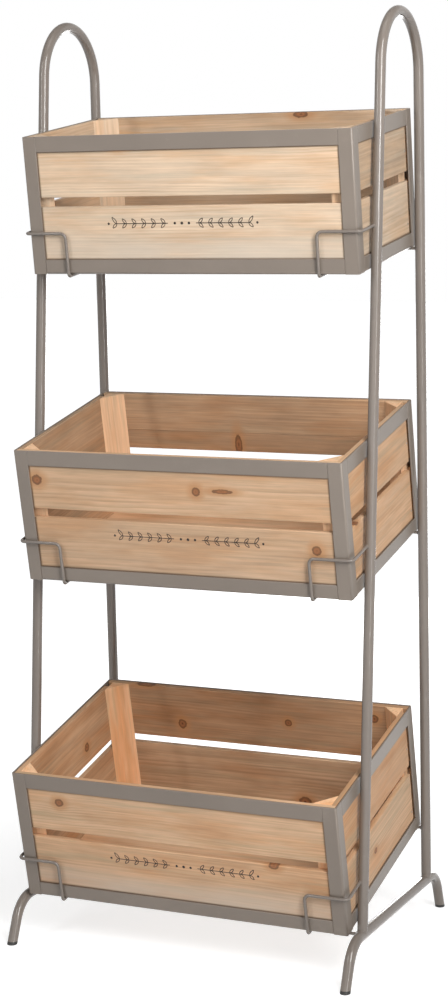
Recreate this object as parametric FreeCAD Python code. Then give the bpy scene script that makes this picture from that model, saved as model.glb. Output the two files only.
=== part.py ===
# Market crate stand: a painted tube stand on four bent feet that holds three pine crates,
# tilted forwards, each in its own pair of wire hooks. The crates lift out of the hooks.
# Millimetres and degrees. X runs across the stand, Y to the back, Z up. The origin is on the
# floor, at the middle of the space that the whole stand takes up.
import FreeCAD
import Part
import math
import os

Vector = FreeCAD.Vector

# Tube of the side frames and foot bars
tube_diameter = 12.7
tube_wall = 1.2
stand_height = 1157.0
leg_span = 247.5
leg_lean = 2.86
foot_bar_height = 53.0
foot_span = 360.0
foot_lean = 23.0
foot_bend = 40.0
tube_ring_angle = 13.0
tube_sides = 16

# Plastic caps on the feet
cap_thickness = 4.0
plug_depth = 12.0
plug_clearance = 0.1

# Wire hooks and cross rods
wire_diameter = 4.0
rod_diameter = 4.0
hook_height = 51.0
hook_inset = 50.0
hook_side_gap = 3.0
hook_front_gap = 0.5
hook_corner_bend = 6.0
hook_drop_bend = 7.0
hook_toe_bend = 4.0
wire_ring_angle = 22.5
wire_sides = 12
rest_gap = 0.3
weld_gap = 0.1

# Places of the crates: height of the front bottom edge, tilt, and how far the crate
# stands out in front of the front legs and behind the rear legs
top_edge_height = 838.0
top_tilt = 9.5
top_front_overhang = 34.0
top_rear_overhang = 12.0
middle_edge_height = 458.0
middle_tilt = 13.0
middle_front_overhang = 36.0
middle_rear_overhang = 14.5
bottom_edge_height = 58.0
bottom_tilt = 14.0
bottom_front_overhang = 28.5
bottom_rear_overhang = 5.0

# Angle-iron cage of a crate
crate_width = 430.0
crate_height = 169.5
crate_side_play = 1.5
cage_thickness = 1.6
angle_width = 18.0
angle_bend = 2.4
top_rail_height = 19.0

# Pine box in the cage
board_thickness = 7.0
board_clearance = 0.4
board_top_drop = 0.5
lower_board_height = 81.4
slot_height = 11.5
side_board_gap = 3.0
floor_thickness = 7.0
floor_clearance = 0.5
floor_board_limit = 90.0
floor_gap = 3.0
block_leg = 24.0

# Square wire nails through the boards into the corner blocks
nail_side = 1.6
nail_length = 13.5
nail_offset = 12.0
rear_nail_inset = 4.5

# Worked out from the sizes above
tube_radius = tube_diameter / 2
bore_radius = tube_radius - tube_wall
wire_radius = wire_diameter / 2
rod_radius = rod_diameter / 2
half_width = crate_width / 2
frame_x = half_width + crate_side_play + tube_radius
board_inset = cage_thickness + board_clearance
wall_inside = board_inset + board_thickness
floor_top = cage_thickness + floor_thickness
board_top = crate_height - board_top_drop
lower_board_top = cage_thickness + lower_board_height
upper_board_bottom = lower_board_top + slot_height
leg_slope = math.tan(math.radians(leg_lean))
foot_slope = math.tan(math.radians(foot_lean))

FRONT = -1
REAR = 1
SIDES = {"left": -1, "right": 1}
QUARTER_TURNS = (0, 90, 180, 270)


def leg_distance(height):
    # distance of a leg's axis from the middle plane of the side frames
    return leg_span / 2 - leg_slope * height


class Tier:
    # one crate's place on the stand, with coordinates along the crate:
    # x across, s back along its bottom, h up its front face
    def __init__(self, edge_height, tilt, front_overhang, rear_overhang):
        self.tilt = tilt
        self.sine = math.sin(math.radians(tilt))
        self.cosine = math.cos(math.radians(tilt))
        self.edge_height = edge_height
        self.edge_y = -leg_distance(edge_height) - front_overhang
        self.depth = self.reach_to_leg(REAR, 0.0) + rear_overhang

    def reach_to_leg(self, end, h):
        # how far back a line along the crate, at height h over its bottom, meets a leg's axis
        leg_y = end * leg_distance(self.edge_height + h * self.cosine)
        return (leg_y - self.edge_y + h * self.sine) / (self.cosine + end * leg_slope * self.sine)

    def point(self, x, s, h):
        y = self.edge_y + s * self.cosine - h * self.sine
        z = self.edge_height + s * self.sine + h * self.cosine
        return Vector(x, y + middle_y, z)

    def place(self, shape):
        moved = shape.copy()
        turn = FreeCAD.Rotation(Vector(1, 0, 0), self.tilt)
        moved.Placement = FreeCAD.Placement(self.point(0, 0, 0), turn).multiply(moved.Placement)
        return moved


tiers = {
    "top": Tier(top_edge_height, top_tilt, top_front_overhang, top_rear_overhang),
    "middle": Tier(middle_edge_height, middle_tilt, middle_front_overhang, middle_rear_overhang),
    "bottom": Tier(bottom_edge_height, bottom_tilt, bottom_front_overhang, bottom_rear_overhang),
}

# The side frames' middle plane stands off the origin, so that the origin is midway
# between the foremost crate edge and the rear feet.
foot_reach = foot_span / 2 + tube_radius / math.cos(math.radians(foot_lean))
crate_reach = max(crate_height * tier.sine - tier.edge_y for tier in tiers.values())
middle_y = (max(crate_reach, foot_reach) - foot_reach) / 2


def bend_sections(points, bends, ring_angle):
    # placements of a bar's sections along straight runs joined by tangent arcs, with a section
    # at least every ring_angle of a bend
    rotation = FreeCAD.Rotation(Vector(0, 0, 1), points[1] - points[0])
    sections = [FreeCAD.Placement(points[0], rotation)]
    for before, corner, after, bend in zip(points, points[1:], points[2:], bends):
        incoming = (corner - before).normalize()
        outgoing = (after - corner).normalize()
        turn = incoming.getAngle(outgoing)
        bend_start = corner - incoming * (bend * math.tan(turn / 2))
        axis = incoming.cross(outgoing)
        centre = bend_start + axis.cross(incoming).normalize() * bend
        count = math.ceil(math.degrees(turn) / ring_angle)
        for index in range(count + 1):
            part_turn = FreeCAD.Rotation(axis, math.degrees(turn) * index / count)
            place = centre + part_turn.multVec(bend_start - centre)
            sections.append(FreeCAD.Placement(place, part_turn.multiply(rotation)))
        rotation = sections[-1].Rotation
    sections.append(FreeCAD.Placement(points[-1], rotation))
    return sections


def round_bar(sections, radius, sides):
    # ruled loft through a many-sided ring at each section
    angles = [2 * math.pi * index / sides for index in range(sides)]
    spokes = [Vector(math.cos(angle), math.sin(angle), 0) * radius for angle in angles]
    rings = []
    for section in sections:
        corners = [section.multVec(spoke) for spoke in spokes]
        rings.append(Part.makePolygon(corners + corners[:1]))
    return Part.makeLoft(rings, True, True)


def straight_bar(radius, start, end):
    return Part.makeCylinder(radius, (end - start).Length, start, end - start)


def slab(bottom, top):
    # everything between two heights, wider than the stand
    reach = stand_height
    return Part.makeBox(2 * reach, 2 * reach, top - bottom, Vector(-reach, -reach, bottom))


def foot_sections(side_x):
    # the foot bar's axis, from below the floor at the front foot to below it at the rear one
    corner = foot_span / 2 - foot_slope * foot_bar_height
    below = foot_span / 2 + foot_slope * foot_bar_height
    points = [
        Vector(side_x, middle_y - below, -foot_bar_height),
        Vector(side_x, middle_y - corner, foot_bar_height),
        Vector(side_x, middle_y + corner, foot_bar_height),
        Vector(side_x, middle_y + below, -foot_bar_height),
    ]
    return bend_sections(points, [foot_bend, foot_bend], tube_ring_angle)


def foot_bar_cutter(side_x):
    # the level part of the foot bar, with room for the weld
    reach = Vector(0, leg_span, 0)
    centre = Vector(side_x, middle_y, foot_bar_height)
    return straight_bar(tube_radius + weld_gap, centre - reach, centre + reach)


def leg_cutter(side_x, end):
    foot = Vector(side_x, middle_y + end * leg_distance(0.0), 0)
    top = Vector(side_x, middle_y + end * leg_distance(stand_height), stand_height)
    return straight_bar(tube_radius + weld_gap, foot, top)


def foot_bar(side_x):
    sections = foot_sections(side_x)
    bore = round_bar(sections, bore_radius, tube_sides)
    tube = round_bar(sections, tube_radius, tube_sides).cut(bore)
    return tube.common(slab(cap_thickness, stand_height))


def foot_caps(side_x):
    # at each end of the foot bar, a pad that carries the tube's slanted outline down to the
    # floor, with a plug up the bore
    sections = foot_sections(side_x)
    pads = round_bar(sections, tube_radius, tube_sides).common(slab(0.0, cap_thickness))
    plugs = round_bar(sections, bore_radius - plug_clearance, tube_sides)
    plugs = plugs.common(slab(0.0, cap_thickness + plug_depth))
    return pads.fuse(plugs).removeSplitter()


def side_frame(side_x):
    # two legs and the arch between them, bent from one tube; the bend is as large as the
    # two leaning legs allow below the stand's height
    leg_meeting = leg_span / 2 / leg_slope
    lean_sine = math.sin(math.radians(leg_lean))
    arch_bend = (leg_meeting - stand_height + tube_radius) / (1 / lean_sine - 1)
    foot_y = leg_distance(foot_bar_height)
    points = [
        Vector(side_x, middle_y - foot_y, foot_bar_height),
        Vector(side_x, middle_y, leg_meeting),
        Vector(side_x, middle_y + foot_y, foot_bar_height),
    ]
    sections = bend_sections(points, [arch_bend], tube_ring_angle)
    bore = round_bar(sections, bore_radius, tube_sides)
    tube = round_bar(sections, tube_radius, tube_sides).cut(bore)
    return tube.cut(foot_bar_cutter(side_x))


def rear_rod_place(tier):
    # the rod's axis along the crate: under its bottom, in line with the rear legs
    h = -rest_gap - rod_radius
    return tier.reach_to_leg(REAR, h), h


def rear_rod(tier):
    s, h = rear_rod_place(tier)
    rod = straight_bar(rod_radius, tier.point(-frame_x, s, h), tier.point(frame_x, s, h))
    return rod.cut([leg_cutter(-frame_x, REAR), leg_cutter(frame_x, REAR)])


def front_rod():
    y = middle_y - leg_distance(foot_bar_height)
    left = Vector(-frame_x, y, foot_bar_height)
    right = Vector(frame_x, y, foot_bar_height)
    rod = straight_bar(rod_radius, left, right)
    return rod.cut([foot_bar_cutter(-frame_x), foot_bar_cutter(frame_x)])


def hook(tier, side):
    # from the front leg, round the crate's corner, along and down its front face, and back
    # under it to the rear rod
    outer_x = side * (half_width + hook_side_gap + wire_radius)
    inner_x = side * (half_width - hook_inset)
    front_s = -hook_front_gap - wire_radius
    under_h = -rest_gap - wire_radius
    rod_s, rod_h = rear_rod_place(tier)
    points = [
        tier.point(outer_x, tier.reach_to_leg(FRONT, hook_height), hook_height),
        tier.point(outer_x, front_s, hook_height),
        tier.point(inner_x, front_s, hook_height),
        tier.point(inner_x, front_s, under_h),
        tier.point(inner_x, rod_s, under_h),
    ]
    bends = [hook_corner_bend, hook_drop_bend, hook_toe_bend]
    wire = round_bar(bend_sections(points, bends, wire_ring_angle), wire_radius, wire_sides)
    rod_left = tier.point(-frame_x, rod_s, rod_h)
    rod_right = tier.point(frame_x, rod_s, rod_h)
    rod = straight_bar(rod_radius + weld_gap, rod_left, rod_right)
    return wire.cut([leg_cutter(side * frame_x, FRONT), rod])


def angle_bar(length):
    # rolled angle with its corner on the Z axis and its flanges towards +X and +Y
    inner_bend = angle_bend - cage_thickness
    outer_middle = angle_bend - angle_bend * math.sqrt(0.5)
    inner_middle = angle_bend - inner_bend * math.sqrt(0.5)
    corners = [
        Vector(angle_bend, 0, 0), Vector(angle_width, 0, 0), Vector(angle_width, cage_thickness, 0),
        Vector(angle_bend, cage_thickness, 0), Vector(cage_thickness, angle_bend, 0),
        Vector(cage_thickness, angle_width, 0), Vector(0, angle_width, 0), Vector(0, angle_bend, 0),
    ]
    middles = {3: Vector(inner_middle, inner_middle, 0), 7: Vector(outer_middle, outer_middle, 0)}
    edges = []
    for index, start in enumerate(corners):
        end = corners[(index + 1) % len(corners)]
        if index in middles:
            edges.append(Part.Arc(start, middles[index], end).toShape())
        else:
            edges.append(Part.makeLine(start, end))
    return Part.Face(Part.Wire(edges)).extrude(Vector(0, 0, length))


def at_corner(shape, turn, depth):
    # a piece made for the left front corner, turned into one of the four corners
    corner = {
        0: Vector(-half_width, 0, 0), 90: Vector(half_width, 0, 0),
        180: Vector(half_width, depth, 0), 270: Vector(-half_width, depth, 0),
    }[turn]
    return set_down(shape, corner, turn)


def at_wall(shape, turn, depth):
    # a piece made for the front wall, middle at x = 0, turned to one of the four walls
    middle = {
        0: Vector(0, 0, 0), 90: Vector(half_width, depth / 2, 0),
        180: Vector(0, depth, 0), 270: Vector(-half_width, depth / 2, 0),
    }[turn]
    return set_down(shape, middle, turn)


def set_down(shape, position, turn):
    moved = shape.copy()
    placement = FreeCAD.Placement(position, FreeCAD.Rotation(Vector(0, 0, 1), turn))
    moved.Placement = placement.multiply(moved.Placement)
    return moved


def corner_posts(depth):
    post = angle_bar(crate_height)
    return [at_corner(post, turn, depth) for turn in QUARTER_TURNS]


def wall_span(turn, depth):
    return crate_width if turn in (0, 180) else depth


def top_rails(depth):
    rails = []
    for turn in QUARTER_TURNS:
        length = wall_span(turn, depth) - 2 * angle_width
        corner = Vector(-length / 2, 0, crate_height - top_rail_height)
        rails.append(at_wall(Part.makeBox(length, cage_thickness, top_rail_height, corner), turn, depth))
    return rails


def bottom_rails(depth):
    # angle between the posts, one flange up the outside and one in under the boards
    rails = []
    along_x = FreeCAD.Rotation(Vector(1, 1, 1), 120)
    for turn in QUARTER_TURNS:
        length = wall_span(turn, depth) - 2 * angle_width
        rail = angle_bar(length)
        rail.Placement = FreeCAD.Placement(Vector(-length / 2, 0, 0), along_x)
        rails.append(at_wall(rail, turn, depth))
    return rails


def wall_ends(turn, depth, full_inset, front_inset, rear_inset):
    # where a wall's boards or nails lie along it: the same distance from both of its ends in the
    # front and rear walls, and a front and a rear distance in the side walls
    half_span = wall_span(turn, depth) / 2
    start, end = {
        0: (full_inset, full_inset), 90: (front_inset, rear_inset),
        180: (full_inset, full_inset), 270: (rear_inset, front_inset),
    }[turn]
    return start - half_span, half_span - end


def wall_board(turn, depth, bottom, top):
    # front and rear boards run the whole width; side boards start behind the front boards and
    # stop short of the rear posts
    start, end = wall_ends(turn, depth, board_inset, wall_inside, angle_width + side_board_gap)
    corner = Vector(start, board_inset, bottom)
    return at_wall(Part.makeBox(end - start, board_thickness, top - bottom, corner), turn, depth)


def floor_boards(depth):
    length = crate_width - 2 * (wall_inside + floor_clearance)
    whole = depth - 2 * (wall_inside + floor_clearance)
    count = math.ceil((whole + floor_gap) / (floor_board_limit + floor_gap))
    pitch = (whole + floor_gap) / count
    first = wall_inside + floor_clearance
    return [
        Part.makeBox(length, pitch - floor_gap, floor_thickness,
                     Vector(-length / 2, first + index * pitch, cage_thickness))
        for index in range(count)
    ]


def corner_blocks(depth):
    # three-sided blocks whose long face looks into the crate
    outline = [
        Vector(wall_inside, wall_inside, floor_top),
        Vector(wall_inside + block_leg, wall_inside, floor_top),
        Vector(wall_inside, wall_inside + block_leg, floor_top),
    ]
    face = Part.Face(Part.makePolygon(outline + outline[:1]))
    block = face.extrude(Vector(0, 0, board_top - floor_top))
    return [at_corner(block, turn, depth) for turn in QUARTER_TURNS]


def nails(depth):
    # one at each end of each board, under the posts' flanges but for the side boards' rear ends;
    # those of the side walls sit lower, so that they pass the others inside the block
    pieces = []
    board_middles = [(cage_thickness + lower_board_top) / 2, (upper_board_bottom + board_top) / 2]
    half = nail_side / 2
    covered = (angle_width + wall_inside) / 2
    for turn in QUARTER_TURNS:
        shift = nail_offset if turn in (0, 180) else -nail_offset
        rear_inset = angle_width + side_board_gap + rear_nail_inset
        for x in wall_ends(turn, depth, covered, covered, rear_inset):
            for middle in board_middles:
                corner = Vector(x - half, board_inset, middle + shift - half)
                nail = Part.makeBox(nail_side, nail_length, nail_side, corner)
                pieces.append(at_wall(nail, turn, depth))
    return pieces


def crate(depth):
    # all pieces of one crate, level, with its front bottom edge along X at the origin
    driven = nails(depth)
    low = (cage_thickness, lower_board_top)
    high = (upper_board_bottom, board_top)

    def nailed(*pieces):
        return [piece.cut(driven) for piece in pieces]

    return {
        "corner_posts": corner_posts(depth),
        "top_rails": top_rails(depth),
        "bottom_rails": bottom_rails(depth),
        "front_lower_board": nailed(wall_board(0, depth, *low)),
        "front_upper_board": nailed(wall_board(0, depth, *high)),
        "rear_lower_board": nailed(wall_board(180, depth, *low)),
        "rear_upper_board": nailed(wall_board(180, depth, *high)),
        "right_wall_boards": nailed(wall_board(90, depth, *low), wall_board(90, depth, *high)),
        "left_wall_boards": nailed(wall_board(270, depth, *low), wall_board(270, depth, *high)),
        "floor_boards": floor_boards(depth),
        "corner_blocks": nailed(*corner_blocks(depth)),
        "nails": driven,
    }


def stand():
    pieces = {"front_rod": [front_rod()], "foot_caps": []}
    for side_name, side in SIDES.items():
        side_x = side * frame_x
        pieces[side_name + "_side_frame"] = [side_frame(side_x)]
        pieces[side_name + "_foot_bar"] = [foot_bar(side_x)]
        pieces["foot_caps"].append(foot_caps(side_x))
    for tier_name, tier in tiers.items():
        pieces[tier_name + "_rear_rod"] = [rear_rod(tier)]
        for side_name, side in SIDES.items():
            pieces[tier_name + "_" + side_name + "_hook"] = [hook(tier, side)]
    return pieces


def write(node, shapes):
    solids = [solid for shape in shapes for solid in shape.Solids]
    whole = solids[0] if len(solids) == 1 else Part.makeCompound(solids)
    whole.exportStep(os.path.join("parts", node + ".step"))
    volume = sum(solid.Volume for solid in solids) / 1000
    print(f"{node}: {len(solids)} solid(s), {volume:.2f} cm3, valid {whole.isValid()}")


os.makedirs("parts", exist_ok=True)
for node, shapes in stand().items():
    write(node, shapes)
for tier_name, tier in tiers.items():
    print(f"{tier_name} crate: depth {tier.depth:.2f}")
    for piece, shapes in crate(tier.depth).items():
        write(tier_name + "_" + piece, [tier.place(shape) for shape in shapes])
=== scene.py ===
import random
from math import atan2, ceil, cos, hypot, pi, radians, sin, sqrt, tan

import bmesh
import bpy
from mathutils import Matrix, Vector


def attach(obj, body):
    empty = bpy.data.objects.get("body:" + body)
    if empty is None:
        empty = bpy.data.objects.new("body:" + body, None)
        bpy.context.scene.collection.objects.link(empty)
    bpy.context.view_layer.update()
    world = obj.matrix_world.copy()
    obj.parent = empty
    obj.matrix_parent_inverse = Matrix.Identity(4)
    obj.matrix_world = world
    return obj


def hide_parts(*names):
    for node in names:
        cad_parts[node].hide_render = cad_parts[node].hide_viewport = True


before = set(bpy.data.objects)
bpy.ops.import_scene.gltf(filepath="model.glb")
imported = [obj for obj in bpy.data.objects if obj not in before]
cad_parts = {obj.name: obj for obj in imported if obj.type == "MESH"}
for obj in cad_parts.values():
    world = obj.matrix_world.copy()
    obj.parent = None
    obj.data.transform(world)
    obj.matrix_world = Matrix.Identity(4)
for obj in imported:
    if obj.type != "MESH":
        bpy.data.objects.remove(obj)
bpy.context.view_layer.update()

scene = bpy.context.scene
mm = 0.001  # sizes below are in millimetres, angles in degrees

# The stand's main sizes, the same as in the CAD
stand = {
    "height": 1157.0, "tube": 12.7, "legSpan": 247.5, "legLean": 2.86,
    "footRise": 53.0, "footSpan": 360.0, "footLean": 23.0, "footBend": 40.0,
    "capThickness": 4.0, "rod": 4.0, "wire": 4.0, "sidePlay": 1.5,
}
crate = {
    "width": 430.0, "height": 169.5, "metal": 1.6, "angle": 18.0, "bend": 2.4, "topRail": 19.0,
    "boardInset": 2.0, "board": 7.0, "boardTop": 169.0, "lowerTop": 83.0, "upperBottom": 94.5,
    "sideGap": 3.0, "floorPlay": 0.5, "floorLimit": 90.0, "floorGap": 3.0, "blockLeg": 24.0,
}
tiers = {
    "top": {"edge": 838.0, "tilt": 9.5, "front": 34.0, "rear": 12.0},
    "middle": {"edge": 458.0, "tilt": 13.0, "front": 36.0, "rear": 14.5, "rearSeam": 120.0},
    "bottom": {"edge": 58.0, "tilt": 14.0, "front": 28.5, "rear": 5.0},
}
sides = {"left": -1, "right": 1}
legSlope = tan(radians(stand["legLean"]))
footSlope = tan(radians(stand["footLean"]))
tubeRadius = stand["tube"] / 2
footRise = stand["footRise"]
halfWidth = crate["width"] / 2
frameX = halfWidth + stand["sidePlay"] + tubeRadius
wallInside = crate["boardInset"] + crate["board"]
floorTop = crate["metal"] + crate["board"]


def legDistance(height):
    return stand["legSpan"] / 2 - legSlope * height


def reachToLeg(tier, end, h):  # how far back a line along the crate meets a leg's axis
    sine, cosine = tier["sine"], tier["cosine"]
    legY = end * legDistance(tier["edge"] + h * cosine)
    return (legY - tier["edgeY"] + h * sine) / (cosine + end * legSlope * sine)


for tierName, tier in tiers.items():
    tier["name"] = tierName
    tier["sine"] = sin(radians(tier["tilt"]))
    tier["cosine"] = cos(radians(tier["tilt"]))
    tier["edgeY"] = -legDistance(tier["edge"]) - tier["front"]
    tier["depth"] = reachToLeg(tier, 1, 0.0) + tier["rear"]
footReach = stand["footSpan"] / 2 + tubeRadius / cos(radians(stand["footLean"]))
crateReach = max(crate["height"] * tier["sine"] - tier["edgeY"] for tier in tiers.values())
middleY = (max(crateReach, footReach) - footReach) / 2
for tier in tiers.values():
    tier["place"] = (Matrix.Translation((0, tier["edgeY"] + middleY, tier["edge"]))
                     @ Matrix.Rotation(radians(tier["tilt"]), 4, "X"))


def cratePoint(tier, x, s, h):
    return tier["place"] @ Vector((x, s, h))


# Small helpers for node trees
def feed(made, links):  # sets a node's inputs, each from a socket or a plain value
    for key, value in links.items():
        if isinstance(value, bpy.types.NodeSocket):
            made.id_data.links.new(value, made.inputs[key])
        else:
            made.inputs[key].default_value = value


def node(tree, kind, links=None, **settings):
    made = tree.nodes.new(kind)
    for name, value in settings.items():
        setattr(made, name, value)
    feed(made, links or {})
    return made


def output(*inputs, **settings):
    return node(*inputs, **settings).outputs[0]


def treeOf(values):  # the node tree that the first socket among them belongs to
    return next(value.id_data for value in values if isinstance(value, bpy.types.NodeSocket))


def maths(operation, *values):
    return output(treeOf(values), "ShaderNodeMath", dict(enumerate(values)), operation=operation)


def product(first, second):
    return maths("MULTIPLY", first, second)


def total(first, second):
    return maths("ADD", first, second)


def gap(first, second):
    return maths("SUBTRACT", first, second)


def vectorMaths(operation, *values):
    made = node(treeOf(values), "ShaderNodeVectorMath", dict(enumerate(values)), operation=operation)
    return made.outputs["Value" if operation in ("LENGTH", "DISTANCE", "DOT_PRODUCT") else "Vector"]


def between(value, low, high):  # 0 at low, 1 at high, smooth in between
    links = {"Value": value, "From Min": low, "From Max": high}
    return output(value.id_data, "ShaderNodeMapRange", links, interpolation_type="SMOOTHSTEP")


def shadeOf(colour, amount):
    return tuple(part * amount for part in colour)


def mixColour(factor, *colours):  # each colour a socket or (red, green, blue)
    first, second = (colour + (1,) if isinstance(colour, tuple) else colour for colour in colours)
    links = {0: factor, 6: first, 7: second}
    return node(factor.id_data, "ShaderNodeMix", links, data_type="RGBA").outputs[2]


def noise(position, scale, detail=2.0, roughness=0.5):
    links = {"Vector": position, "Scale": scale, "Detail": detail, "Roughness": roughness}
    return output(position.id_data, "ShaderNodeTexNoise", links)


def combined(tree, *parts):
    return output(tree, "ShaderNodeCombineXYZ", dict(enumerate(parts)))


def separated(vector):
    return node(vector.id_data, "ShaderNodeSeparateXYZ", {0: vector}).outputs


def stretched(position, x, y, z):
    return vectorMaths("MULTIPLY", position, (x, y, z))


def objectPlace(tree):
    return node(tree, "ShaderNodeTexCoord").outputs["Object"]


def seenDirectly(tree):  # 1 for what the camera sees, straight, mirrored or through something
    path = node(tree, "ShaderNodeLightPath").outputs
    seen = maths("MAXIMUM", path["Is Camera Ray"], path["Is Glossy Ray"])
    return maths("MAXIMUM", seen, path["Is Transmission Ray"])


def newMaterial(name):
    material = bpy.data.materials.new(name)
    material.use_nodes = True
    tree = material.node_tree
    tree.nodes.clear()
    shader = node(tree, "ShaderNodeBsdfPrincipled")
    node(tree, "ShaderNodeOutputMaterial", {"Surface": shader.outputs[0]})
    return material, tree, shader


def bump(shader, height, strength, distance):
    links = {"Height": height, "Strength": strength, "Distance": distance}
    feed(shader, {"Normal": output(shader.id_data, "ShaderNodeBump", links)})


# Satin powder coat
paint = {
    "colour": (0.21, 0.178, 0.153), "roughness": 0.17, "patchScale": 7.0, "patchShade": 0.9,
    "peelScale": 520.0, "peelDepth": 0.0001, "peel": 0.25, "dustScale": 38.0, "dust": (0.33, 0.29, 0.255),
    "dustCover": 0.22, "dustRoughness": 0.5,
}


def paintMaterial(name, values):
    material, tree, shader = newMaterial(name)
    place = objectPlace(tree)
    shaded = shadeOf(values["colour"], values["patchShade"])
    patches = between(noise(place, values["patchScale"], 3.0), 0.35, 0.7)
    base = mixColour(patches, values["colour"], shaded)
    dust = between(noise(place, values["dustScale"], 5.0, 0.7), 0.56, 0.78)
    dust = product(dust, values["dustCover"])
    feed(shader, {
        "Base Color": mixColour(dust, base, values["dust"]),
        "Roughness": maths("MULTIPLY_ADD", dust, values["dustRoughness"], values["roughness"])})
    bump(shader, noise(place, values["peelScale"], 2.0), values["peel"], values["peelDepth"])
    return material


standPaint = paintMaterial("standPaint", paint)
cagePaint = paintMaterial("cagePaint", {**paint, "colour": (0.24, 0.199, 0.165), "roughness": 0.33})

# Black moulded plastic of the foot caps, and the nails' steel: a colour with marks over it
plastic = {
    "colour": (0.018, 0.017, 0.016), "mark": (0.07, 0.068, 0.064), "marks": (150.0, 4.0, 0.7),
    "markEdges": (0.55, 0.8), "roughness": 0.5, "markRoughness": 0.25, "metallic": 0.0,
    "grainScale": 900.0, "grain": 0.25, "grainDepth": 0.0001,
}
steel = {
    "colour": (0.44, 0.43, 0.41), "mark": (0.2, 0.16, 0.12), "marks": (400.0, 3.0, 0.5),
    "markEdges": (0.45, 0.75), "roughness": 0.42, "markRoughness": 0.3, "metallic": 1.0,
    "grainScale": 1200.0, "grain": 0.2, "grainDepth": 0.00005,
}


def markedMaterial(name, values):
    material, tree, shader = newMaterial(name)
    place = objectPlace(tree)
    marks = between(noise(place, *values["marks"]), *values["markEdges"])
    feed(shader, {
        "Base Color": mixColour(marks, values["colour"], values["mark"]), "Metallic": values["metallic"],
        "Roughness": maths("MULTIPLY_ADD", marks, values["markRoughness"], values["roughness"])})
    bump(shader, noise(place, values["grainScale"]), values["grain"], values["grainDepth"])
    return material


capPlastic = markedMaterial("capPlastic", plastic)
nailSteel = markedMaterial("nailSteel", steel)

# Pine. A board carries two vectors per point: grain is (along, across, through) from the
# middle of its tree, and spot is (x, s, h) in its crate, both in metres; its tone value is its own shade with
# painted light and shade added.
pine = {
    "ring": 0.0042, "ringWarp": 0.011, "ripple": 0.0011, "yearScale": 95.0, "yearShift": 0.012,
    "roughness": 0.6, "fibreRoughness": 0.2, "relief": 0.5, "reliefDepth": 0.0002,
    # noises along the grain: stretch along, stretch across, detail, roughness
    "sway": (3.2, 5.0, 2.0, 0.4), "rippleNoise": (22.0, 60.0, 2.0, 0.5), "lateNoise": (6.0, 45.0, 3.0, 0.5),
    "warmNoise": (7.0, 34.0, 3.0, 0.6), "greyNoise": (4.5, 70.0, 4.0, 0.65),
    "fibre": (30.0, 1500.0, 3.0, 0.6), "streak": (7.0, 300.0, 4.0, 0.65), "cloud": (14.0, 55.0, 3.0, 0.55),
    # how much each one tells
    "late": (0.5, 0.06), "warmShare": 0.6, "greyShare": 0.6, "fibreShade": 0.3, "streakShade": 0.6,
    "cloudShade": 0.4, "leastShade": 0.35, "lateRelief": 0.6, "fibreRelief": 0.8,
    "haze": (0.6, 0.52, 0.43), "hazeTop": 0.062, "hazeFade": 0.02, "frontFace": (0.0035, 0.002),
    "knotCore": (0.36, 0.145, 0.055), "knotRim": (0.1, 0.035, 0.014), "knotHalo": (0.5, 0.24, 0.095),
    "haloShare": 0.7, "rimShare": 0.8, "eyeRings": 2.6, "eyeShare": 0.45,
    # the cage's opening over a wall, and the painted shadow along its edge, in metres
    "strip": 0.018, "opening": 0.197, "underRail": 0.1505, "sideFace": (0.2115, 0.2125),
    "endFace": (0.0035, 0.0025), "seam": 0.003, "paintedShadowColour": (0.1, 0.06, 0.035), "paintedShadowShare": 0.85,
}
knotShape = {"wobble": 0.5, "wobbleScale": 260.0, "reach": (0.4, 0.4, 0.55), "push": 0.75, "join": 0.1}
pineTones = {
    "top": {"pale": (0.71, 0.55, 0.4), "dark": (0.5, 0.335, 0.205), "warm": (0.62, 0.39, 0.22),
            "grey": (0.58, 0.48, 0.36), "haze": 0.7},
    "middle": {"pale": (0.65, 0.44, 0.28), "dark": (0.4, 0.235, 0.125), "warm": (0.53, 0.29, 0.145),
               "grey": (0.4, 0.295, 0.19), "haze": 0.15},
    "bottom": {"pale": (0.68, 0.46, 0.29), "dark": (0.4, 0.225, 0.115), "warm": (0.55, 0.28, 0.13),
               "grey": (0.46, 0.345, 0.215), "haze": 0.7},
}
# knots: place in the crate (x, s, h) and half sizes, all in millimetres; s counts from the
# front face, and a side wall's knot has its x at that wall
knots = {
    "top": [((73, 200, 167), (9, 14, 4)), ((-86, 6, 157), (9, 14, 4.5))],
    "middle": [
        ((-188, 6, 132), (6.5, 14, 6)), ((26, 6, 126), (5, 14, 5)), ((60, 6, 127.5), (12, 14, 2.6)),
        ((174.5, 6, 59.5), (5.5, 14, 5.5)), ((-23, 245, 104), (4.5, 14, 12.5)), ((210, 38, 86), (14, 6, 5)),
    ],
    "bottom": [
        ((-154, 6, 134), (5.5, 14, 5)), ((127, 6, 82), (6, 14, 4)), ((-108, 272, 116.5), (5.5, 14, 6)),
        ((46, 272, 132.5), (4.5, 14, 4.5)), ((166, 272, 150), (5, 14, 5)), ((-207, 179, 117), (14, 5.5, 5.5)),
        ((-157, 272, 171), (14, 14, 3.5)), ((59, 272, 18), (8, 14, 7)), ((209, 118, 50), (14, 4.5, 3.2)),
    ],
}


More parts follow.
